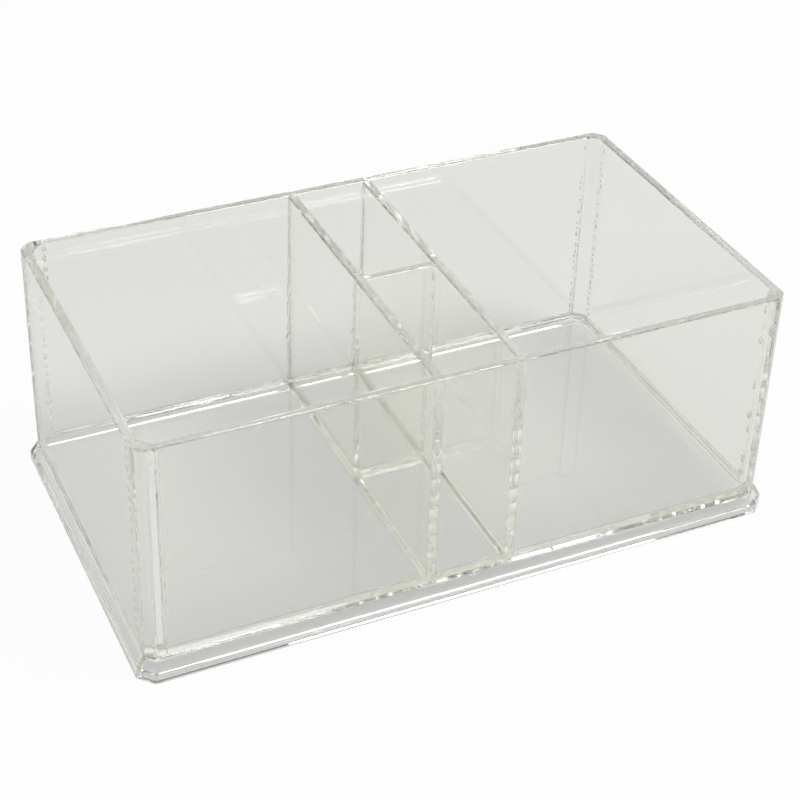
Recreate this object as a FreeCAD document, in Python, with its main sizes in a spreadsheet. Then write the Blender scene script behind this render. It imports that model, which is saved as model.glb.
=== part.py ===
import FreeCAD, Part
import os

import Sketcher

# Vanity organizer: clear panels and corner posts cemented on a bevelled base, with fixed dividers between.
# Frame: +X to the right along the long front, +Y to the rear, +Z up.
# The origin is on the underside of the base, at its middle. Millimetres.

doc = FreeCAD.newDocument("vanity_organizer")

# Driving dimensions
SIZES = {
    "wall_length": 233.0,
    "wall_depth": 131.0,
    "total_height": 91.5,
    "sheet_thick": 3.4,
    "outer_cut": 3.6,
    "inner_cut": 4.2,
    "base_thick": 8.8,
    "base_side": 3.8,
    "base_overhang": 2.75,
    "floor_thick": 3.4,
    "skirt_thick": 3.2,
    "divider_offset": 14.8,
    "bead_size": 2.0,
    "bead_lip": 0.25,
    "polish_radius": 0.4,
}
sheet = doc.addObject("Spreadsheet::Sheet", "Sizes")
for row, (alias, size) in enumerate(SIZES.items(), start=1):
    sheet.set(f"A{row}", alias)
    sheet.set(f"B{row}", str(size))
    sheet.setAlias(f"B{row}", alias)
doc.recompute()

WALL_HEIGHT = "Sizes.total_height - Sizes.base_thick"
POST_REACH = "Sizes.sheet_thick + Sizes.inner_cut"
INNER_DEPTH = "Sizes.wall_depth - 2 * Sizes.sheet_thick"
HALF_SHEET = "Sizes.sheet_thick / 2"
# How much shorter each leg of a 45 degree corner cut gets per unit of inset
CUT_SHRINK = "(2 - sqrt(2))"
NEAR = 0.001
ORIGIN_POINT = (-1, 1)
X_AXIS = -1
Y_AXIS = -2


def new_body(label):
    """An empty body whose label names its node."""
    body = doc.addObject("PartDesign::Body", label)
    body.Label = label
    return body


def place(body, x="0", y="0", z="Sizes.base_thick", turn=0):
    """Sets a body's place by expressions in X, Y and Z, turned about Z by degrees."""
    body.Placement = FreeCAD.Placement(FreeCAD.Vector(), FreeCAD.Rotation(FreeCAD.Vector(0, 0, 1), turn))
    for axis, text in (("x", x), ("y", y), ("z", z)):
        body.setExpression(f"Placement.Base.{axis}", text)


def flat_sketch(body, name, lift="0"):
    """A sketch on the body's own XY plane, raised by an expression."""
    sketch = body.newObject("Sketcher::SketchObject", name)
    plane = next(f for f in body.Origin.OriginFeatures if f.Role == "XY_Plane")
    sketch.AttachmentSupport = [(plane, "")]
    sketch.MapMode = "FlatFace"
    sketch.setExpression("AttachmentOffset.Base.z", lift)
    return sketch


def outline(sketch, corners):
    """Draws a closed outline through rough corners, joined end to end."""
    points = [FreeCAD.Vector(x, y, 0) for x, y in corners]
    for start, end in zip(points, points[1:] + points[:1]):
        sketch.addGeometry(Part.LineSegment(start, end))
    count = len(points)
    for edge in range(count):
        sketch.addConstraint(Sketcher.Constraint("Coincident", edge, 2, (edge + 1) % count, 1))


def mirror_pairs(sketch, axis, pairs):
    """Holds pairs of corners, given by edge number, symmetric about an axis."""
    for first, second in pairs:
        sketch.addConstraint(Sketcher.Constraint("Symmetric", first, 1, second, 1, axis))


def bind(sketch, kind, first, second, name, text):
    """A named distance between two points, driven by an expression."""
    value = float(sketch.evalExpression(text))
    index = sketch.addConstraint(Sketcher.Constraint(kind, *first, *second, value))
    sketch.renameConstraint(index, name)
    sketch.setExpression(f"Constraints.{name}", text)


def cut_rectangle(body, name, length, depth, cut, lift="0"):
    """A rectangle about the origin with its four corners cut at 45 degrees."""
    sketch = flat_sketch(body, name, lift)
    x, y, c = SIZES["wall_length"] / 2, SIZES["wall_depth"] / 2, SIZES["outer_cut"]
    corners = [(-x + c, -y), (x - c, -y), (x, -y + c), (x, y - c)]
    outline(sketch, corners + [(-u, -v) for u, v in corners])
    for edge in range(4):
        sketch.addConstraint(Sketcher.Constraint("Symmetric", edge, 1, edge + 4, 1, *ORIGIN_POINT))
    mirror_pairs(sketch, Y_AXIS, [(0, 1)])
    mirror_pairs(sketch, X_AXIS, [(2, 3)])
    bind(sketch, "DistanceX", (6, 1), (2, 1), "length", length)
    bind(sketch, "DistanceY", (0, 1), (4, 1), "depth", depth)
    bind(sketch, "DistanceX", (1, 1), (2, 1), "cut_along", cut)
    bind(sketch, "DistanceY", (1, 1), (2, 1), "cut_across", cut)
    return sketch


def rectangle(body, name, length, depth, start="0", lift="0"):
    """A rectangle centred on the Y axis, its near side at start from the X axis."""
    sketch = flat_sketch(body, name, lift)
    x, y = SIZES["wall_length"] / 2, SIZES["sheet_thick"]
    outline(sketch, [(-x, 0), (x, 0), (x, y), (-x, y)])
    mirror_pairs(sketch, Y_AXIS, [(0, 1), (3, 2)])
    sketch.addConstraint(Sketcher.Constraint("Vertical", 1))
    bind(sketch, "DistanceX", (0, 1), (1, 1), "length", length)
    bind(sketch, "DistanceY", (1, 1), (2, 1), "depth", depth)
    bind(sketch, "DistanceY", ORIGIN_POINT, (0, 1), "start", start)
    return sketch


def post_section(body, name):
    """The plan of a corner post: a leg along each axis, and a flat across the corner inside and outside."""
    sketch = flat_sketch(body, name)
    c, t = SIZES["outer_cut"], SIZES["sheet_thick"]
    reach = t + SIZES["inner_cut"]
    outline(sketch, [(c, 0), (reach, 0), (reach, t), (t, reach), (0, reach), (0, c)])
    for corner in (0, 1):
        sketch.addConstraint(Sketcher.Constraint("PointOnObject", corner, 1, X_AXIS))
    for corner in (4, 5):
        sketch.addConstraint(Sketcher.Constraint("PointOnObject", corner, 1, Y_AXIS))
    sketch.addConstraint(Sketcher.Constraint("Vertical", 1))
    sketch.addConstraint(Sketcher.Constraint("Horizontal", 3))
    bind(sketch, "DistanceX", ORIGIN_POINT, (0, 1), "outer_along", "Sizes.outer_cut")
    bind(sketch, "DistanceY", ORIGIN_POINT, (5, 1), "outer_across", "Sizes.outer_cut")
    bind(sketch, "DistanceX", ORIGIN_POINT, (1, 1), "reach_along", POST_REACH)
    bind(sketch, "DistanceY", ORIGIN_POINT, (4, 1), "reach_across", POST_REACH)
    bind(sketch, "DistanceY", (1, 1), (2, 1), "thick_along", "Sizes.sheet_thick")
    bind(sketch, "DistanceX", (4, 1), (3, 1), "thick_across", "Sizes.sheet_thick")
    return sketch


def end_room(body, name, inset="0", lift="0"):
    """The plan of the left compartment, from the end wall to the divider, drawn in by an inset."""
    sketch = flat_sketch(body, name, lift)
    x0, x1 = -SIZES["wall_length"] / 2, -SIZES["divider_offset"]
    y, c = SIZES["wall_depth"] / 2, SIZES["inner_cut"]
    outline(sketch, [(x0 + c, -y), (x1, -y), (x1, y), (x0 + c, y), (x0, y - c), (x0, -y + c)])
    mirror_pairs(sketch, X_AXIS, [(0, 3), (1, 2), (5, 4)])
    sketch.addConstraint(Sketcher.Constraint("Horizontal", 0))
    length = f"Sizes.wall_length / 2 - Sizes.divider_offset - 3 * {HALF_SHEET}"
    bind(sketch, "DistanceX", (1, 1), ORIGIN_POINT, "start", f"Sizes.divider_offset + {HALF_SHEET} + {inset}")
    bind(sketch, "DistanceX", (5, 1), (1, 1), "length", f"{length} - 2 * ({inset})")
    bind(sketch, "DistanceY", (1, 1), (2, 1), "depth", f"{INNER_DEPTH} - 2 * ({inset})")
    cut = f"Sizes.inner_cut - ({inset}) * {CUT_SHRINK}"
    bind(sketch, "DistanceX", (5, 1), (0, 1), "cut_along", cut)
    bind(sketch, "DistanceY", (0, 1), (5, 1), "cut_across", cut)
    return sketch


def cell_room(body, name, inset="0", lift="0"):
    """The plan of the rear cell, from the cross divider to the rear wall, drawn in by an inset."""
    length = f"2 * Sizes.divider_offset - Sizes.sheet_thick - 2 * ({inset})"
    depth = f"({INNER_DEPTH}) / 2 - {HALF_SHEET} - 2 * ({inset})"
    return rectangle(body, name, length, depth, f"{HALF_SHEET} + {inset}", lift)


def pad(body, name, sketch, length, taper=None):
    """Raises a sketch by an expression, with its sides leaning in by an expression if given."""
    feature = body.newObject("PartDesign::Pad", name)
    feature.Profile = sketch
    feature.setExpression("Length", length)
    if taper:
        feature.setExpression("TaperAngle", taper)
    doc.recompute()
    return feature


def pocket(body, name, sketch, depth, upward, taper=None):
    """Cuts a sketch into a body by an expression, and checks that it took material away."""
    before = body.Shape.Volume
    feature = body.newObject("PartDesign::Pocket", name)
    feature.Profile = sketch
    feature.Reversed = upward
    feature.setExpression("Length", depth)
    if taper:
        feature.setExpression("TaperAngle", taper)
    doc.recompute()
    if body.Shape.Volume > before - NEAR:
        raise RuntimeError(f"{name} cut nothing")
    return feature


def polish(body, name, base, is_seam):
    """Rounds the edges of the top face, but for those that meet a neighbour in a cemented seam."""
    top = base.Shape.BoundBox.ZMax
    edges = []
    for number, edge in enumerate(base.Shape.Edges, start=1):
        if edge.BoundBox.ZMin > top - NEAR and not is_seam(edge.BoundBox):
            edges.append(f"Edge{number}")
    fillet = body.newObject("PartDesign::Fillet", name)
    fillet.Base = (base, edges)
    fillet.setExpression("Radius", "Sizes.polish_radius")
    doc.recompute()


def make_base():
    """The base tray: an upright side, a bevel leaning in to the walls' feet, and a recess that follows both."""
    body = new_body("base_tray")
    length = "Sizes.wall_length + 2 * Sizes.base_overhang"
    depth = "Sizes.wall_depth + 2 * Sizes.base_overhang"
    cut = f"Sizes.outer_cut + Sizes.base_overhang * {CUT_SHRINK}"
    side = cut_rectangle(body, "side_outline", length, depth, cut)
    pad(body, "side", side, "Sizes.base_side")
    bevel = cut_rectangle(body, "bevel_outline", length, depth, cut, "Sizes.base_side")
    rise = "Sizes.base_thick - Sizes.base_side"
    lean = f"atan(Sizes.base_overhang / ({rise}))"
    pad(body, "bevel", bevel, rise, f"-{lean}")
    mouth = (f"{length} - 2 * Sizes.skirt_thick", f"{depth} - 2 * Sizes.skirt_thick",
             f"{cut} - Sizes.skirt_thick * {CUT_SHRINK}")
    # The recess turns in where it keeps the skirt's thickness behind the bevel
    bend = f"Sizes.base_side - Sizes.skirt_thick * tan({lean} / 2)"
    pocket(body, "mouth", cut_rectangle(body, "mouth_outline", *mouth), bend, True)
    recess = cut_rectangle(body, "recess_outline", *mouth, bend)
    pocket(body, "recess", recess, f"Sizes.base_thick - Sizes.floor_thick - ({bend})", True, f"-{lean}")
    place(body, z="0")
    return body


def make_panel(label, length, **where):
    """A flat sheet standing on the base, polished along its top and cemented at both ends."""
    body = new_body(label)
    sketch = rectangle(body, f"{label}_outline", length, "Sizes.sheet_thick")
    sheet_pad = pad(body, f"{label}_sheet", sketch, WALL_HEIGHT)
    polish(body, f"{label}_polish", sheet_pad, lambda box: box.XLength < NEAR)
    place(body, **where)
    return body


def make_post(label, **where):
    """A corner post, polished on top and cemented to the walls at the ends of its two legs."""
    body = new_body(label)
    section = pad(body, f"{label}_section", post_section(body, f"{label}_outline"), WALL_HEIGHT)
    seam = section.Shape.BoundBox.XMax - NEAR
    polish(body, f"{label}_polish", section, lambda box: max(box.XMin, box.YMin) > seam)
    place(body, **where)
    return body


def make_bead(label, room, turn):
    """The bead of cement round the foot of one compartment, sloping from its walls to the floor."""
    body = new_body(label)
    pad(body, f"{label}_fill", room(body, f"{label}_outline"), "Sizes.bead_size")
    mouth = room(body, f"{label}_mouth", "Sizes.bead_lip", "Sizes.bead_size")
    slope = "-atan((Sizes.bead_size - Sizes.bead_lip) / Sizes.bead_size)"
    pocket(body, f"{label}_slope", mouth, "Sizes.bead_size", False, slope)
    place(body, turn=turn)
    return body


long_panel = f"Sizes.wall_length - 2 * ({POST_REACH})"
side_panel = f"Sizes.wall_depth - 2 * ({POST_REACH})"
short_panel = "2 * Sizes.divider_offset - Sizes.sheet_thick"
pieces = [
    make_base(),
    make_panel("front_wall", long_panel, y="-Sizes.wall_depth / 2"),
    make_panel("rear_wall", long_panel, y="Sizes.wall_depth / 2", turn=180),
    make_panel("left_wall", side_panel, x="-Sizes.wall_length / 2", turn=-90),
    make_panel("right_wall", side_panel, x="Sizes.wall_length / 2", turn=90),
    make_post("front_left_post", x="-Sizes.wall_length / 2", y="-Sizes.wall_depth / 2"),
    make_post("front_right_post", x="Sizes.wall_length / 2", y="-Sizes.wall_depth / 2", turn=90),
    make_post("rear_right_post", x="Sizes.wall_length / 2", y="Sizes.wall_depth / 2", turn=180),
    make_post("rear_left_post", x="-Sizes.wall_length / 2", y="Sizes.wall_depth / 2", turn=270),
    make_panel("left_divider", INNER_DEPTH, x=f"{HALF_SHEET} - Sizes.divider_offset", turn=90),
    make_panel("right_divider", INNER_DEPTH, x=f"{HALF_SHEET} + Sizes.divider_offset", turn=90),
    make_panel("cross_divider", short_panel, y=f"-{HALF_SHEET}"),
    make_bead("left_cement_bead", end_room, 0),
    make_bead("right_cement_bead", end_room, 180),
    make_bead("rear_cell_cement_bead", cell_room, 0),
    make_bead("front_cell_cement_bead", cell_room, 180),
]

doc.recompute()
for item in doc.Objects:
    if "Invalid" in item.State or "Error" in item.State:
        raise RuntimeError(f"{item.Label} failed to build: {item.State}")
for piece in pieces:
    if piece.Shape.isNull() or not piece.Shape.isValid():
        raise RuntimeError(f"{piece.Label} has no valid shape")

os.makedirs("parts", exist_ok=True)
for piece in pieces:
    piece.Shape.exportStep(f"parts/{piece.Label}.step")
    box = piece.Shape.BoundBox
    limits = [round(v, 2) for v in (box.XMin, box.XMax, box.YMin, box.YMax, box.ZMin, box.ZMax)]
    print(piece.Label, limits, round(piece.Shape.Volume, 1), len(piece.Shape.Solids))
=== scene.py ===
import math

import bmesh
import bpy
from bpy.props import FloatProperty, FloatVectorProperty, IntProperty, PointerProperty
from bpy.types import Operator, Panel, PropertyGroup
from mathutils import Matrix, Vector, noise


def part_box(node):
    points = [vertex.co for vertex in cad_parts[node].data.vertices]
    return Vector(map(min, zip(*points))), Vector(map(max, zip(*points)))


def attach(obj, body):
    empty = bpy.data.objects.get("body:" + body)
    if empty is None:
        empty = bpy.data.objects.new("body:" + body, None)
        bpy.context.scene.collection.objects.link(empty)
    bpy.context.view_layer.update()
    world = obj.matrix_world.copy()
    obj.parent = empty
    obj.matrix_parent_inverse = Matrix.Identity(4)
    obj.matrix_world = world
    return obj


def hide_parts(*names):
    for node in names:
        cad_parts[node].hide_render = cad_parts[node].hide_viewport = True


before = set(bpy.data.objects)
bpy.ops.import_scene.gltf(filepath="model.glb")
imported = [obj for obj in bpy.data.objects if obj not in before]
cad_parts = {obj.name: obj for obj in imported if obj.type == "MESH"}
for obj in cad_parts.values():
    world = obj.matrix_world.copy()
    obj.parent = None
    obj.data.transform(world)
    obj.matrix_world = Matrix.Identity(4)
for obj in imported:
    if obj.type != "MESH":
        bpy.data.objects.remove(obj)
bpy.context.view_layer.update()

bl_info = {
    "name": "Vanity organizer",
    "version": (1, 0, 0),
    "blender": (4, 5, 0),
    "location": "View3D > Sidebar > Organizer",
    "description": "Clear acrylic vanity organizer: base, walls, posts, dividers and cement seams",
    "category": "Object",
}

# Places read from the frame, in metres
BASE_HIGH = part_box("base_tray")[1]
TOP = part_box("front_wall")[1].z
WALL_HIGH = Vector((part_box("right_wall")[1].x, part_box("rear_wall")[1].y, TOP))
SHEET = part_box("front_wall")[1].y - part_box("front_wall")[0].y
SEAM_X, SEAM_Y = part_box("rear_wall")[1].x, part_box("right_wall")[1].y
BEAD_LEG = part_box("left_cement_bead")[1].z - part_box("left_cement_bead")[0].z
INNER = Vector((WALL_HIGH.x - SHEET, WALL_HIGH.y - SHEET, BASE_HIGH.z))
# Coordinates that differ by less than this are the same
NEAR = 0.00001

# Clear plastic: refraction, scale of its slow pattern, and the fine pattern's scale and share beside it
PLASTIC_IOR = 1.49
ACRYLIC_PATTERN, CEMENT_PATTERN = 22.0, 160.0
FINE_TIMES, FINE_SHARE = 9.0, 0.04
# Hairlines: stretch of their pattern, the level at which one begins, and how sharply
HAIRLINE_SCALE = (60.0, 60.0, 1400.0)
HAIRLINE_START, HAIRLINE_GAIN = 0.66, 9.0

# Bubbles in a seam: their pitch, half width, thickness as a share of that, and how many are at each end
BEADED = (0.0040, 0.0010, 0.9, 1.0, 0.8)
CLOSE = (0.0026, 0.0009, 0.5, 1.0, 0.55)
PATCHY = (0.0078, 0.0013, 0.3, 0.6, 0.15)
LUMPY = (0.0062, 0.0015, 0.7, 1.0, 0.25)
SPARSE = (0.0060, 0.0006, 0.3, 0.15, 0.15)
# Least and most of a bubble's half width and half length, as shares of its seam's half width and pitch
BUBBLE_WIDTHS, BUBBLE_LENGTHS = (0.5, 1.0), (0.22, 0.47)
# Each flat panel's long axis, and the seams at its start, its end and its foot
PANELS = {
    "front_wall": (0, SPARSE, LUMPY, SPARSE),
    "rear_wall": (0, BEADED, CLOSE, SPARSE),
    "left_wall": (1, BEADED, BEADED, SPARSE),
    "right_wall": (1, LUMPY, CLOSE, SPARSE),
    "left_divider": (1, PATCHY, CLOSE, CLOSE),
    "right_divider": (1, PATCHY, CLOSE, SPARSE),
    "cross_divider": (0, PATCHY, PATCHY, SPARSE),
}

# Cement: detail per metre of its waves and of its lumps
WAVE_DETAIL, LUMP_DETAIL = 90.0, 420.0
# Spacing of a bead's sections along a side, and how far the first and last keep from the corners
BEAD_STEP, BEAD_CLEAR = 0.0016, 0.0024
# Steps of a bead's slope, the slope's roundness, and the share of small lumps in its waves
SLOPE_STEPS, SLOPE_ROUND, SMALL_LUMPS = 4, 0.4, 0.12
# Share of a bead's waviness halfway back, and what the front loses and the rear gains
WAVE_MIDDLE, WAVE_SPREAD = 0.65, 0.35
# Corner cement: where in the bead it starts, its leanest share, what lumps add, what it loses on its way up,
# and its share in the corners of the front
CORNER_START, CORNER_LEAN, CORNER_LUMPS, CORNER_FADE, CORNER_FRONT = 0.7, 0.2, 1.3, 0.75, 0.4
# Steps of its round face
CORNER_STEPS = 5

# Stage: half width of the floor and its drop below the box, and the softbox's place, in metres
FLOOR_HALF, FLOOR_DROP = 4.0, 0.0001
SOFTBOX_PLACE = Vector((1.1, -0.9, 2.65))
# The room's light overhead and behind: its slope along the way up or back, its share at none, its least
OVERHEAD, BEHIND = (-1.7, 1.9, 0.08), (1.7, 0.15, 0.02)
# Light paths through the nested clear sheets need many turns
BOUNCES = 160


class OrganizerSizes(PropertyGroup):
    """Sizes of the box that the frame's outer boxes don't give."""

    outer_cut: FloatProperty(
        name="Outer corner flat", description="Leg of the flat outside each corner", default=0.0036,
        unit="LENGTH")
    base_side: FloatProperty(
        name="Base side", description="Height of the base's upright side", default=0.0038, unit="LENGTH")
    floor_thick: FloatProperty(
        name="Floor", description="Thickness of the floor over the recess", default=0.0034, unit="LENGTH")
    skirt_thick: FloatProperty(
        name="Skirt", description="Thickness of the skirt round the recess", default=0.0032, unit="LENGTH")
    edge_round: FloatProperty(
        name="Edge rounding", description="Radius of the base's edges", default=0.0005, unit="LENGTH")
    rim_round: FloatProperty(
        name="Rim rounding", description="Radius of the polished rims", default=0.0008, unit="LENGTH")
    bond: FloatProperty(
        name="Bond overlap", description="How far a cemented face sinks into its neighbour", default=0.00002,
        unit="LENGTH")


class AcrylicFinish(PropertyGroup):
    """Look of the clear sheet and of set cement."""

    tint: FloatVectorProperty(
        name="Tint", description="Colour that one sheet gives to the light through it", subtype="COLOR",
        default=(0.988, 0.992, 0.970), min=0.0, max=1.0)
    tint_deep: FloatVectorProperty(
        name="Deeper tint", description="Tint where the sheet is a little denser", subtype="COLOR",
        default=(0.976, 0.983, 0.955), min=0.0, max=1.0)
    wave_height: FloatProperty(
        name="Sheet waviness", description="Height of the slow waves in the sheet", default=0.00001,
        unit="LENGTH")
    gloss: FloatProperty(
        name="Roughness", description="Roughness of the clean polished face", default=0.004,
        subtype="FACTOR")
    scratch: FloatProperty(
        name="Hairline wear", description="Roughness added along fine scratches", default=0.05,
        subtype="FACTOR")
    cement_wave: FloatProperty(
        name="Cement waviness", description="Height of the waves in set cement", default=0.000015,
        unit="LENGTH")
    cement_gloss: FloatProperty(
        name="Cement roughness", description="Roughness of set cement", default=0.01, subtype="FACTOR")


class CementMarks(PropertyGroup):
    """Bubbles and beads left by the cement."""

    bubble_margin: FloatProperty(
        name="Bubble margin", description="Least acrylic between a bubble and the sheet's faces",
        default=0.0001, unit="LENGTH")
    corner_leg: FloatProperty(
        name="Corner cement", description="Leg of the cement squeezed out up a corner", default=0.0009,
        unit="LENGTH")
    lump_step: FloatProperty(
        name="Lump detail", description="Height of one step of the lumpy corner cement", default=0.0004,
        unit="LENGTH")
    seed: IntProperty(name="Seed", description="Seed of the bubble pattern", default=7)
    bead_wave: FloatProperty(
        name="Bead waviness", description="Share of the bead's leg that comes and goes", default=0.05,
        subtype="FACTOR")


class StudioStage(PropertyGroup):
    """Floor, light and camera."""

    floor_colour: FloatVectorProperty(
        name="Floor", description="Colour of the pale floor", subtype="COLOR", default=(0.58, 0.58, 0.568),
        min=0.0, max=1.0)
    white_seen: FloatProperty(
        name="White to the eye", description="Share of plain white in the floor as the camera sees it",
        default=0.97, subtype="FACTOR")
    white_through: FloatProperty(
        name="White through acrylic", description="Share of plain white in the floor as acrylic shows it",
        default=0.53, subtype="FACTOR")
    lamp_power: FloatProperty(
        name="Softbox", description="Power of the softbox in watts", default=72.0, unit="POWER")
    lamp_size: FloatProperty(
        name="Softbox size", description="Side of the square softbox", default=1.3, unit="LENGTH")
    room_light: FloatProperty(
        name="Room light", description="Strength of the white room light", default=0.9)


class Value:
    """A node socket; arithmetic on it adds Math nodes to its graph."""

    def __init__(self, graph, socket):
        self.graph = graph
        self.socket = socket

    def math(self, operation, first, second):
        return self.graph.node("ShaderNodeMath", {"operation": operation}, {0: first, 1: second})

    def __add__(self, other):
        return self.math("ADD", self, other)

    def __sub__(self, other):
        return self.math("SUBTRACT", self, other)

    def __mul__(self, other):
        return self.math("MULTIPLY", self, other)

    def other(self, output):
        """Another output of the node that this value comes from."""
        return Value(self.graph, self.socket.node.outputs[output])

    def vector(self, operation, second):
        """Vector Math with this value first; Scale takes its factor as second."""
        sockets = {0: self, "Scale" if operation == "SCALE" else 1: second}
        return self.graph.node("ShaderNodeVectorMath", {"operation": operation}, sockets)

    def at_most(self, other):
        return self.math("MINIMUM", self, other)

    def at_least(self, other):
        return self.math("MAXIMUM", self, other)


class Graph:
    """A node tree that is filled from expressions."""

    def __init__(self, tree):
        self.tree = tree

    def node(self, kind, settings=None, sockets=None, output=0):
        """Adds a node: first its settings, then the values or links of its sockets."""
        made = self.tree.nodes.new(kind)
        for name, setting in (settings or {}).items():
            setattr(made, name, setting)
        for key, given in (sockets or {}).items():
            if isinstance(given, Value):
                self.tree.links.new(given.socket, made.inputs[key])
            else:
                made.inputs[key].default_value = given
        return Value(self, made.outputs[output]) if made.outputs else None


def settings_of(context):
    """The four groups of settings on the scene."""
    scene = context.scene
    return scene.organizer_sizes, scene.acrylic_finish, scene.cement_marks, scene.studio_stage


def colour(rgb):
    return (*rgb, 1.0)


def new_material(name):
    """An empty node material and its graph."""
    material = bpy.data.materials.new(name)
    material.use_nodes = True
    material.node_tree.nodes.clear()
    return material, Graph(material.node_tree)


def clear_plastic(name, finish, wave_scale, wave_height, gloss):
    """Clear glossy plastic: slow waves, fine hairlines and a faint tint that is not quite even."""
    if name in bpy.data.materials:
        return bpy.data.materials[name]
    material, graph = new_material(name)
    place = graph.node("ShaderNodeTexCoord", output="Object")
    slow = graph.node("ShaderNodeTexNoise", None, {"Vector": place, "Scale": wave_scale, "Detail": 1.0})
    fine = graph.node("ShaderNodeTexNoise", None, {
        "Vector": place, "Scale": wave_scale * FINE_TIMES, "Detail": 2.0})
    brushed = graph.node("ShaderNodeMapping", None, {"Vector": place, "Scale": HAIRLINE_SCALE})
    streak = graph.node("ShaderNodeTexNoise", None, {"Vector": brushed, "Scale": 1.0, "Detail": 3.0})
    hairline = ((streak - HAIRLINE_START) * HAIRLINE_GAIN).at_least(0.0).at_most(1.0)
    height = slow + fine * FINE_SHARE
    bump = graph.node("ShaderNodeBump", None, {"Strength": 1.0, "Distance": wave_height, "Height": height})
    tint = graph.node("ShaderNodeMix", {"data_type": "RGBA"}, {
        0: fine, 6: colour(finish.tint), 7: colour(finish.tint_deep)}, output=2)
    surface = graph.node("ShaderNodeBsdfPrincipled", None, {
        "Base Color": tint, "Roughness": hairline * finish.scratch + gloss, "Normal": bump,
        "IOR": PLASTIC_IOR, "Transmission Weight": 1.0})
    graph.node("ShaderNodeOutputMaterial", None, {"Surface": surface})
    return material


def acrylic(finish):
    return clear_plastic("polished_acrylic", finish, ACRYLIC_PATTERN, finish.wave_height, finish.gloss)


def set_cement(finish):
    return clear_plastic("set_cement", finish, CEMENT_PATTERN, finish.cement_wave, finish.cement_gloss)


def octagon(half_x, half_y, cut):
    """A rectangle with its corners cut at 45 degrees, counter-clockwise."""
    half = [(cut - half_x, -half_y), (half_x - cut, -half_y), (half_x, cut - half_y), (half_x, half_y - cut)]
    return half + [(-x, -y) for x, y in half]


def ring(mesh, outline, z):
    return [mesh.verts.new((x, y, z)) for x, y in outline]


def bridge(mesh, lower, upper):
    """Quads between two closed rings, facing out of a counter-clockwise pair."""
    count = len(lower)
    for i in range(count):
        j = (i + 1) % count
        mesh.faces.new((lower[i], lower[j], upper[j], upper[i]))


def prism(mesh, outline, low, high):
    """A closed prism over a counter-clockwise outline."""
    lower, upper = ring(mesh, outline, low), ring(mesh, outline, high)
    bridge(mesh, lower, upper)
    mesh.faces.new(list(reversed(lower)))
    mesh.faces.new(upper)


def round_edges(mesh, radius, segments, wanted):
    """Rounds the edges that a test on their two ends picks."""
    edges = [e for e in mesh.edges if wanted(e.verts[0].co, e.verts[1].co)]
    bmesh.ops.bevel(mesh, geom=edges, offset=radius, segments=segments, profile=0.5, affect="EDGES",
                    clamp_overlap=True)


def close_to(first, second):
    return abs(first - second) < NEAR


def make_piece(name, mesh, material, node=None, voids=None):
    """Turns a bmesh into a finished piece; voids are cavities whose faces already look into their air."""
    bmesh.ops.recalc_face_normals(mesh, faces=mesh.faces[:])
    if voids:
        mesh.from_mesh(voids)
    data = bpy.data.meshes.new(name)
    mesh.to_mesh(data)
    mesh.free()
    data.materials.append(material)
    piece = bpy.data.objects.new(name, data)
    bpy.context.scene.collection.objects.link(piece)
    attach(piece, "root")
    if node:
        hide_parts(node)


def base_mesh(sizes):
    """The base tray: upright side, bevel up to the walls' feet, and a recess beneath that follows both."""
    mesh = bmesh.new()
    overhang = BASE_HIGH.x - WALL_HIGH.x
    lean = overhang / (BASE_HIGH.z - sizes.base_side)
    ceiling = BASE_HIGH.z - sizes.floor_thick
    bend = sizes.base_side - sizes.skirt_thick * math.tan(math.atan(lean) / 2.0)

    def inset(depth):
        cut = sizes.outer_cut + (overhang - depth) * (2.0 - math.sqrt(2.0))
        return octagon(BASE_HIGH.x - depth, BASE_HIGH.y - depth, cut)

    recess = inset(sizes.skirt_thick)
    low, side = ring(mesh, inset(0.0), 0.0), ring(mesh, inset(0.0), sizes.base_side)
    top = ring(mesh, inset(overhang), BASE_HIGH.z)
    mouth, turn = ring(mesh, recess, 0.0), ring(mesh, recess, bend)
    deep = ring(mesh, inset(sizes.skirt_thick + (ceiling - bend) * lean), ceiling)
    bridge(mesh, low, side)
    bridge(mesh, side, top)
    mesh.faces.new(top)
    bridge(mesh, mouth, low)
    bridge(mesh, turn, mouth)
    bridge(mesh, deep, turn)
    mesh.faces.new(list(reversed(deep)))

    def moulded(a, b):
        return not (close_to(a.z, BASE_HIGH.z) and close_to(b.z, BASE_HIGH.z))

    round_edges(mesh, sizes.edge_round, 3, moulded)
    return mesh


def panel_mesh(sizes, low, high, along):
    """A flat sheet between two corners, rounded along its top and sunk into its neighbours by the bond."""
    mesh = bmesh.new()
    low, high = Vector(low), Vector(high)
    low[along] -= sizes.bond
    high[along] += sizes.bond
    low.z -= sizes.bond
    prism(mesh, [(low.x, low.y), (high.x, low.y), (high.x, high.y), (low.x, high.y)], low.z, high.z)

    def rim(a, b):
        return close_to(a.z, TOP) and close_to(b.z, TOP) and not close_to(a[along], b[along])

    round_edges(mesh, sizes.rim_round, 5, rim)
    return mesh


def post_mesh(sizes, x, y):
    """The post in the corner that two signs pick, rounded on top and along its outer flat."""
    mesh = bmesh.new()
    far, inner, cut = WALL_HIGH, INNER, sizes.outer_cut
    outline = [(inner.x, SEAM_Y), (far.x, SEAM_Y), (far.x, far.y - cut),
               (far.x - cut, far.y), (SEAM_X, far.y), (SEAM_X, inner.y)]
    prism(mesh, [(u * x, v * y) for u, v in outline], BASE_HIGH.z - sizes.bond, TOP)

    def cemented(a, b):
        low = close_to(a.z, b.z) and not close_to(a.z, TOP)
        return low or any(close_to(abs(a[k]), seam) and close_to(abs(b[k]), seam)
                          for k, seam in ((0, SEAM_X), (1, SEAM_Y)))

    round_edges(mesh, sizes.rim_round, 5, lambda a, b: not cemented(a, b))
    return mesh


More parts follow.
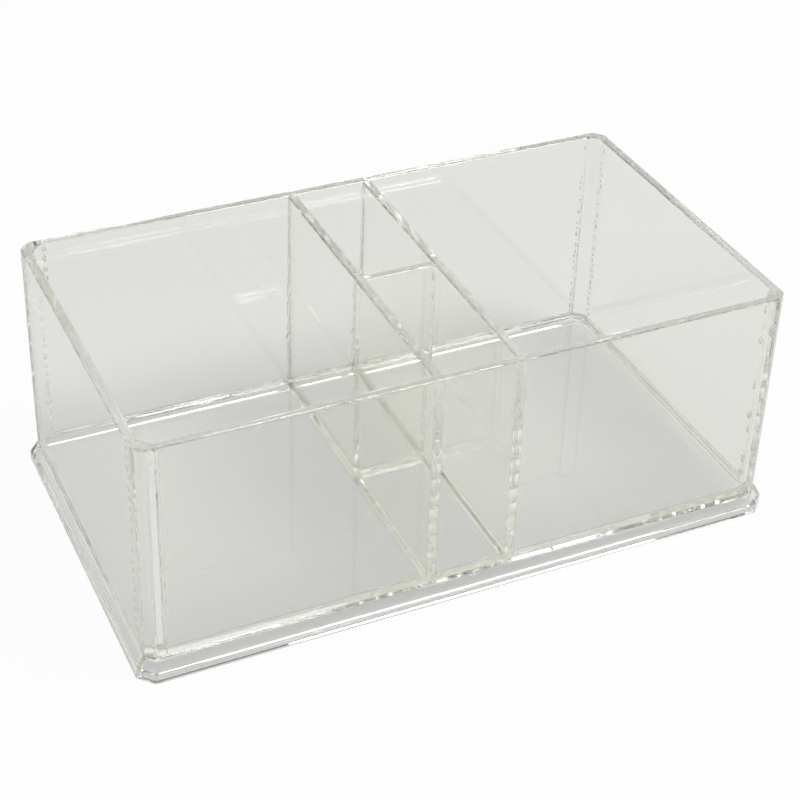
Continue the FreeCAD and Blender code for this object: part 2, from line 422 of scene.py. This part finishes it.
def seam_mesh(marks, low, high, along, seams):
    """A panel's cemented edges as loose edges that carry what their bubbles need."""
    data = bpy.data.meshes.new("seams")
    through = 1 - along
    middle = (low + high) / 2.0
    way = Vector((0.0, 0.0, 0.0))
    way[through] = 1.0
    points, across, marked = [], [], []
    for place, (pitch, girth, film, share_low, share_high) in zip(("start", "end", "foot"), seams):
        depth = girth * film + marks.bubble_margin
        first, last = middle.copy(), middle.copy()
        clear = pitch / 2.0 + SHEET / 4.0
        if place == "foot":
            first[along], last[along] = low[along] + clear, high[along] - clear
            first.z = last.z = low.z + depth
        else:
            first[along] = last[along] = low[along] + depth if place == "start" else high[along] - depth
            first.z, last.z = low.z + clear, high.z - clear
        points += [first, last]
        across += [*way, *way]
        marked += [(pitch, girth, film, share_low), (pitch, girth, film, share_high)]
    data.from_pydata(points, [(i, i + 1) for i in range(0, len(points), 2)], [])
    data.attributes.new("across", "FLOAT_VECTOR", "POINT").data.foreach_set("vector", across)
    for name, values in zip(("pitch", "girth", "film", "share"), zip(*marked)):
        data.attributes.new(name, "FLOAT", "POINT").data.foreach_set("value", values)
    return data


def bubble_tree():
    """Geometry nodes that lay voids along seams, their faces turned to the air inside."""
    tree = bpy.data.node_groups.new("seam_bubbles", "GeometryNodeTree")
    kinds = {"Seams": "Geometry", "Room": "Float", "Seed": "Int", "Material": "Material"}
    for name, kind in kinds.items():
        tree.interface.new_socket(name, in_out="INPUT", socket_type=f"NodeSocket{kind}")
    tree.interface.new_socket("Bubbles", in_out="OUTPUT", socket_type="NodeSocketGeometry")
    graph = Graph(tree)
    given = graph.node("NodeGroupInput", output="Seams")

    def attribute(name, kind="FLOAT"):
        return graph.node("GeometryNodeInputNamedAttribute", {"data_type": kind}, {"Name": name})

    def chance(low, high, turn):
        seed = given.other("Seed") * 10.0 + float(turn)
        sockets = {2: low, 3: high, 8: seed}
        return graph.node("FunctionNodeRandomValue", {"data_type": "FLOAT"}, sockets, output=1)

    curve = graph.node("GeometryNodeMeshToCurve", None, {"Mesh": given})
    points = graph.node("GeometryNodeCurveToPoints", {"mode": "LENGTH"}, {
        "Curve": curve, "Length": attribute("pitch")})
    tangent, across = points.other("Tangent"), attribute("across", "FLOAT_VECTOR")
    width = attribute("girth") * chance(*BUBBLE_WIDTHS, 1)
    length = attribute("pitch") * chance(*BUBBLE_LENGTHS, 2)
    sideways = across.vector("SCALE", chance(-1.0, 1.0, 3) * (given.other("Room") - width))
    moved = graph.node("GeometryNodeSetPosition", None, {"Geometry": points, "Offset": sideways})
    upright = graph.node("FunctionNodeAlignRotationToVector", {"axis": "Z"}, {"Vector": tangent})
    turned = graph.node("FunctionNodeAlignRotationToVector", {"axis": "X", "pivot_axis": "Z"}, {
        "Rotation": upright, "Vector": across})
    scale = graph.node("ShaderNodeCombineXYZ", None, {
        "X": width, "Y": width * attribute("film"), "Z": length})
    kept = graph.node("FunctionNodeCompare", {"data_type": "FLOAT", "operation": "LESS_THAN"}, {
        0: chance(0.0, 1.0, 4), 1: attribute("share")})
    ball = graph.node("GeometryNodeMeshUVSphere", None, {"Segments": 12, "Rings": 6, "Radius": 1.0})
    smooth = graph.node("GeometryNodeSetShadeSmooth", None, {0: ball})
    hollow = graph.node("GeometryNodeFlipFaces", None, {"Mesh": smooth})
    laid = graph.node("GeometryNodeInstanceOnPoints", None, {
        "Points": moved, "Selection": kept, "Instance": hollow, "Rotation": turned, "Scale": scale})
    real = graph.node("GeometryNodeRealizeInstances", None, {"Geometry": laid})
    done = graph.node("GeometryNodeSetMaterial", None, {
        "Geometry": real, "Material": given.other("Material")})
    graph.node("NodeGroupOutput", None, {"Bubbles": done})
    return tree


def seam_voids(context, tree, seams, marks, finish, turn):
    """The bubbles along a panel's seams as one plain mesh."""
    host = bpy.data.objects.new("seams", seams)
    context.scene.collection.objects.link(host)
    modifier = host.modifiers.new("bubbles", "NODES")
    modifier.node_group = tree
    room = SHEET / 2.0 - marks.bubble_margin
    wanted = {"Room": room, "Seed": marks.seed + turn, "Material": acrylic(finish)}
    for item in tree.interface.items_tree:
        if item.in_out == "INPUT" and item.name in wanted:
            modifier[item.identifier] = wanted[item.name]
    voids = bpy.data.meshes.new_from_object(host.evaluated_get(context.evaluated_depsgraph_get()))
    bpy.data.objects.remove(host)
    if not voids.polygons:
        raise RuntimeError("no bubbles were made")
    return voids


def room_outlines():
    """Plan of each compartment, counter-clockwise, under the name of its cement bead."""
    rooms = {}
    cut = INNER.x - SEAM_X
    for name in ("left_cement_bead", "right_cement_bead", "front_cell_cement_bead", "rear_cell_cement_bead"):
        low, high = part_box(name)
        outline = [(low.x, low.y), (high.x, low.y), (high.x, high.y), (low.x, high.y)]
        if close_to(low.x, -INNER.x):
            outline = [(low.x + cut, low.y), *outline[1:3], (low.x + cut, high.y),
                       (low.x, high.y - cut), (low.x, low.y + cut)]
        if close_to(high.x, INNER.x):
            outline = [outline[0], (high.x - cut, low.y), (high.x, low.y + cut), (high.x, high.y - cut),
                       (high.x - cut, high.y), outline[3]]
        rooms[name] = [Vector(point) for point in outline]
    return rooms


def bead_stations(outline, step, clear):
    """Points round an outline with the inward direction at each, mitred at the corners."""
    count = len(outline)
    sides = [(outline[(i + 1) % count] - outline[i]).normalized() for i in range(count)]
    inward = [Vector((-d.y, d.x)) for d in sides]
    stations = []
    for i in range(count):
        before, here = inward[i - 1], inward[i]
        stations.append((outline[i], (before + here) / (1.0 + before.dot(here))))
        length = (outline[(i + 1) % count] - outline[i]).length
        gaps = max(1, round((length - 2.0 * clear) / step))
        for k in range(gaps + 1):
            along = clear + (length - 2.0 * clear) * k / gaps
            if along > 0.0:
                stations.append((outline[i] + sides[i] * along, here))
    return stations


def noise_at(point, detail, third):
    """Noise over a point of the plan, with a third coordinate that tells patterns apart."""
    return noise.noise(Vector((point.x * detail, point.y * detail, third)))


def bead_slope(reach, rise):
    """The face of a bead from its foot on the floor to its top on the wall, slightly hollow."""
    slope = []
    for k in range(SLOPE_STEPS + 1):
        turn = math.radians(90.0 * k / SLOPE_STEPS)
        round_in, round_up = 1.0 - math.sin(turn), 1.0 - math.cos(turn)
        flat_in, flat_up = 1.0 - k / SLOPE_STEPS, k / SLOPE_STEPS
        flat = 1.0 - SLOPE_ROUND
        slope.append((reach * (SLOPE_ROUND * round_in + flat * flat_in),
                      rise * (SLOPE_ROUND * round_up + flat * flat_up)))
    return slope


def bead_mesh(sizes, marks, outline, seed):
    """A bead of cement round a compartment's foot, whose legs come and go, less so towards the front."""
    mesh = bmesh.new()
    bond = sizes.bond
    rings = []
    for point, inward in bead_stations(outline, BEAD_STEP, BEAD_CLEAR):
        waves = [noise_at(point, WAVE_DETAIL, seed + apart) for apart in (0.0, 9.0)]
        small = noise_at(point, LUMP_DETAIL, seed + 4.0)
        swing = marks.bead_wave * (WAVE_MIDDLE + WAVE_SPREAD * point.y / INNER.y)
        shares = [1.0 - swing + swing * (wave + SMALL_LUMPS * small) for wave in waves]
        reach, rise = [BEAD_LEG * min(1.0, share) for share in shares]
        section = [(-bond, -bond), (reach, -bond), *bead_slope(reach, rise), (-bond, rise)]
        rings.append([
            mesh.verts.new((*(point + inward * depth), BASE_HIGH.z + up)) for depth, up in section])
    for lower, upper in zip(rings, rings[1:] + rings[:1]):
        bridge(mesh, lower, upper)
    return mesh


def square_corners():
    """The square corners of every compartment, each with the ways along the sides before and after it."""
    corners = []
    for outline in room_outlines().values():
        for before, corner, after in zip(outline[-1:] + outline[:-1], outline, outline[1:] + outline[:1]):
            ways = (before - corner).normalized(), (after - corner).normalized()
            if abs(ways[0].dot(ways[1])) < NEAR:
                corners.append((corner, *ways))
    return corners


def corner_cement_mesh(sizes, marks):
    """Thin lumpy lines of squeezed-out cement up the square corners of every compartment."""
    mesh = bmesh.new()
    bond = sizes.bond
    low, high = BASE_HIGH.z + CORNER_START * BEAD_LEG, TOP - SHEET
    count = round((high - low) / marks.lump_step)
    arc = [math.radians(90.0 * step / CORNER_STEPS) for step in range(CORNER_STEPS + 1)]
    for corner, back, ahead in square_corners():
        full = marks.corner_leg * (CORNER_FRONT if corner.y < -SHEET else 1.0)
        rings = []
        for k in range(count + 1):
            z = low + (high - low) * k / count
            lump = noise_at(corner, WAVE_DETAIL, z * LUMP_DETAIL + marks.seed)
            share = (CORNER_LEAN + CORNER_LUMPS * abs(lump)) * (1.0 - CORNER_FADE * k / count)
            leg = full * min(1.0, share)
            round_face = [(leg * math.cos(turn), leg * math.sin(turn)) for turn in arc]
            section = [(-bond, -bond), (leg, -bond), *round_face, (-bond, leg)]
            rings.append([mesh.verts.new((*(corner + ahead * a + back * b), z)) for a, b in section])
        for lower, upper in zip(rings, rings[1:]):
            bridge(mesh, lower, upper)
        mesh.faces.new(list(reversed(rings[0])))
        mesh.faces.new(rings[-1])
    return mesh


def make_floor(stage):
    """A wide pale floor, part plain white to the eye, that still takes the box's shadow."""
    mesh = bmesh.new()
    bmesh.ops.create_grid(mesh, x_segments=1, y_segments=1, size=FLOOR_HALF)
    data = bpy.data.meshes.new("floor")
    mesh.to_mesh(data)
    mesh.free()
    floor = bpy.data.objects.new("floor", data)
    floor.location.z = -FLOOR_DROP
    bpy.context.scene.collection.objects.link(floor)
    material, graph = new_material("pale_floor")
    lit = graph.node("ShaderNodeBsdfDiffuse", None, {"Color": colour(stage.floor_colour)})
    white = graph.node("ShaderNodeEmission", None, {"Color": (1.0, 1.0, 1.0, 1.0), "Strength": 1.0})
    seen, gloss, through = [graph.node("ShaderNodeLightPath", output=name) for name in (
        "Is Camera Ray", "Is Glossy Ray", "Is Transmission Ray")]
    share = seen * stage.white_seen + (gloss + through).at_most(1.0) * stage.white_through
    mixed = graph.node("ShaderNodeMixShader", None, {0: share, 1: lit, 2: white})
    graph.node("ShaderNodeOutputMaterial", None, {"Surface": mixed})
    data.materials.append(material)


def light_share(way, slope, start, least):
    """A share of the room's light that changes evenly along a way, never more than all of it."""
    return (way * slope + start).at_most(1.0).at_least(least)


def make_light(stage):
    """A softbox over the camera, and a room that is bright behind the box and dim overhead and in front."""
    world = bpy.data.worlds.new("studio")
    world.use_nodes = True
    world.node_tree.nodes.clear()
    graph = Graph(world.node_tree)
    direction = graph.node("ShaderNodeTexCoord", output="Generated")
    height = graph.node("ShaderNodeSeparateXYZ", None, {"Vector": direction}, output="Z")
    overhead = light_share(height, *OVERHEAD)
    behind = light_share(height.other("Y"), *BEHIND)
    room = graph.node("ShaderNodeBackground", None, {
        "Color": (1.0, 1.0, 1.0, 1.0), "Strength": overhead * behind * stage.room_light})
    white = graph.node("ShaderNodeBackground", None, {"Color": (1.0, 1.0, 1.0, 1.0), "Strength": 1.0})
    camera_ray = graph.node("ShaderNodeLightPath", output="Is Camera Ray")
    mixed = graph.node("ShaderNodeMixShader", None, {0: camera_ray, 1: room, 2: white})
    graph.node("ShaderNodeOutputWorld", None, {"Surface": mixed})
    bpy.context.scene.world = world
    lamp = bpy.data.lights.new("softbox", "AREA")
    lamp.size = stage.lamp_size
    lamp.energy = stage.lamp_power
    softbox = bpy.data.objects.new("softbox", lamp)
    softbox.location = SOFTBOX_PLACE
    softbox.rotation_euler = (-SOFTBOX_PLACE).to_track_quat("-Z", "Y").to_euler()
    bpy.context.scene.collection.objects.link(softbox)


def make_camera():
    """The photograph's camera, from a fit to the rim and base."""
    data = bpy.data.cameras.new("camera")
    data.sensor_width = 36.0
    data.lens = 86.0
    data.shift_y = -0.125
    camera = bpy.data.objects.new("camera", data)
    right = Vector((0.90941206, -0.41490579, 0.02868621))
    up = Vector((0.2013076, 0.49949334, 0.84260409))
    back = Vector((-0.36392988, -0.76049957, 0.53776896))
    pose = Matrix((right, up, back)).transposed().to_4x4()
    pose.translation = (-0.24139309, -0.50570448, 0.43661137)
    camera.matrix_world = pose
    bpy.context.scene.collection.objects.link(camera)
    bpy.context.scene.camera = camera


class ORGANIZER_OT_base(Operator):
    """Makes the hollow base tray with its bevel"""

    bl_idname = "organizer.base"
    bl_label = "Base tray"

    def execute(self, context):
        sizes, finish, _, _ = settings_of(context)
        make_piece("base_tray_clear", base_mesh(sizes), acrylic(finish), "base_tray")
        return {"FINISHED"}


class ORGANIZER_OT_panels(Operator):
    """Makes the four flat walls and the three dividers, with the bubbles trapped in their seams"""

    bl_idname = "organizer.panels"
    bl_label = "Flat panels"

    def execute(self, context):
        sizes, finish, marks, _ = settings_of(context)
        tree = bubble_tree()
        for turn, (node, (along, *seams)) in enumerate(PANELS.items()):
            mesh = panel_mesh(sizes, *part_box(node), along)
            edges = seam_mesh(marks, *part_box(node), along, seams)
            voids = seam_voids(context, tree, edges, marks, finish, turn)
            make_piece(f"{node}_clear", mesh, acrylic(finish), node, voids)
            bpy.data.meshes.remove(voids)
        return {"FINISHED"}


class ORGANIZER_OT_posts(Operator):
    """Makes the four corner posts"""

    bl_idname = "organizer.posts"
    bl_label = "Corner posts"

    def execute(self, context):
        sizes, finish, _, _ = settings_of(context)
        for end, y in (("front", -1.0), ("rear", 1.0)):
            for side, x in (("left", -1.0), ("right", 1.0)):
                node = f"{end}_{side}_post"
                make_piece(f"{node}_clear", post_mesh(sizes, x, y), acrylic(finish), node)
        return {"FINISHED"}


class ORGANIZER_OT_beads(Operator):
    """Makes the beads of cement round the compartments' feet and up their corners"""

    bl_idname = "organizer.beads"
    bl_label = "Cement beads"

    def execute(self, context):
        sizes, finish, marks, _ = settings_of(context)
        for index, (node, outline) in enumerate(room_outlines().items()):
            mesh = bead_mesh(sizes, marks, outline, marks.seed + 3.0 * index)
            make_piece(f"{node}_clear", mesh, set_cement(finish), node)
        mesh = corner_cement_mesh(sizes, marks)
        make_piece("corner_cement_clear", mesh, set_cement(finish))
        return {"FINISHED"}


class ORGANIZER_OT_stage(Operator):
    """Makes the pale floor, the light and the camera"""

    bl_idname = "organizer.stage"
    bl_label = "Stage"

    def execute(self, context):
        _, _, _, stage = settings_of(context)
        make_floor(stage)
        make_light(stage)
        make_camera()
        context.scene.view_settings.view_transform = "Standard"
        cycles = context.scene.cycles
        cycles.max_bounces = BOUNCES
        cycles.transmission_bounces = BOUNCES
        cycles.glossy_bounces = BOUNCES
        cycles.caustics_reflective = False
        return {"FINISHED"}


class ORGANIZER_PT_sidebar(Panel):
    """Lists what makes the organizer"""

    bl_idname = "ORGANIZER_PT_sidebar"
    bl_label = "Vanity organizer"
    bl_space_type = "VIEW_3D"
    bl_region_type = "UI"
    bl_category = "Organizer"

    def draw(self, context):
        for operator in OPERATORS:
            self.layout.operator(operator.bl_idname)
        for group in settings_of(context):
            for name in group.bl_rna.properties.keys():
                if name not in ("rna_type", "name"):
                    self.layout.prop(group, name)


GROUPS = {
    "organizer_sizes": OrganizerSizes,
    "acrylic_finish": AcrylicFinish,
    "cement_marks": CementMarks,
    "studio_stage": StudioStage,
}
OPERATORS = (ORGANIZER_OT_base, ORGANIZER_OT_panels, ORGANIZER_OT_posts, ORGANIZER_OT_beads,
             ORGANIZER_OT_stage)


def register():
    for name, group in GROUPS.items():
        bpy.utils.register_class(group)
        setattr(bpy.types.Scene, name, PointerProperty(type=group))
    for cls in (*OPERATORS, ORGANIZER_PT_sidebar):
        bpy.utils.register_class(cls)


def unregister():
    for cls in (ORGANIZER_PT_sidebar, *reversed(OPERATORS)):
        bpy.utils.unregister_class(cls)
    for name, group in reversed(GROUPS.items()):
        delattr(bpy.types.Scene, name)
        bpy.utils.unregister_class(group)


def main():
    """Makes every piece and the stage."""
    register()
    bpy.ops.organizer.base()
    bpy.ops.organizer.panels()
    bpy.ops.organizer.posts()
    bpy.ops.organizer.beads()
    bpy.ops.organizer.stage()


if __name__ == "__main__":
    main()
